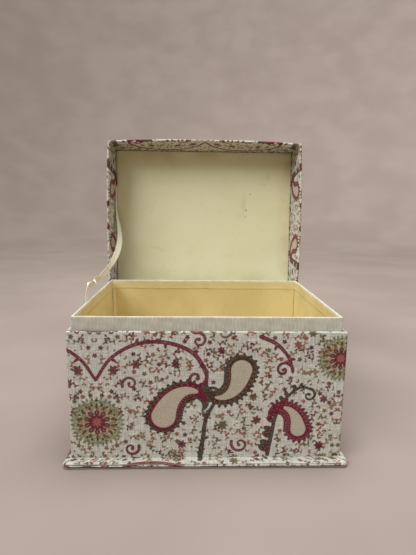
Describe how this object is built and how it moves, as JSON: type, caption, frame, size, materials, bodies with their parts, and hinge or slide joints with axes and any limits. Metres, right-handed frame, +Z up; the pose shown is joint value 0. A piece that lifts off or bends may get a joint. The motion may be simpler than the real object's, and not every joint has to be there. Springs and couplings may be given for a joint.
{
  "type": "cloth covered hinged box",
  "caption": "Printed-cloth covered board box with a deep hinged lid, a raised neck inside the rim, paper lining, a plinth base and a ribbon stay.",
  "frame": {"origin": "on the surface that the box stands on, under the middle of the case's walls", "axes": "+X to the right seen from the front, +Y to the back where the lid is hinged, +Z up"},
  "size_m": [0.2812, 0.2849, 0.3407],
  "materials": {
    "printed_canvas": "coarse plain-weave canvas with a paisley print",
    "ribbed_cloth": "finely ribbed ivory bookcloth",
    "lining_paper": "matt cream paper, a little yellowed",
    "liner_paper": "matt pale cream paper",
    "greyboard": "unfinished greyboard",
    "base_paper": "matt kraft paper",
    "ribbon": "ivory satin ribbon"
  },
  "bodies": {
    "case": {"base_paper": "base_paper", "plinth_board": "greyboard", "plinth_cover": "printed_canvas", "case_front_board": "greyboard", "case_back_board": "greyboard", "case_left_board": "greyboard", "case_right_board": "greyboard", "case_cover": "printed_canvas", "floor_board": "greyboard", "floor_lining": "lining_paper", "neck_front_board": "greyboard", "neck_back_board": "greyboard", "neck_left_board": "greyboard", "neck_right_board": "greyboard", "neck_cover": "ribbed_cloth", "lining_front": "lining_paper", "lining_back": "lining_paper", "lining_left": "lining_paper", "lining_right": "lining_paper", "hinge_strip_case": "printed_canvas", "stay_ribbon": "ribbon"},
    "lid": {"lid_top_board": "greyboard", "lid_front_board": "greyboard", "lid_back_board": "greyboard", "lid_left_board": "greyboard", "lid_right_board": "greyboard", "lid_cover": "printed_canvas", "lid_liner_board": "greyboard", "lid_liner_paper": "liner_paper", "hinge_strip_lid": "printed_canvas"}
  },
  "joints": [
    {"name": "lid_hinge", "type": "hinge", "parent": "case", "child": "lid", "pos_m": [0, 0.1026, 0.1368], "axis": [-1, 0, 0], "range_deg": [-94.7, 15.3], "deforming": ["stay_ribbon"]}
  ]
}
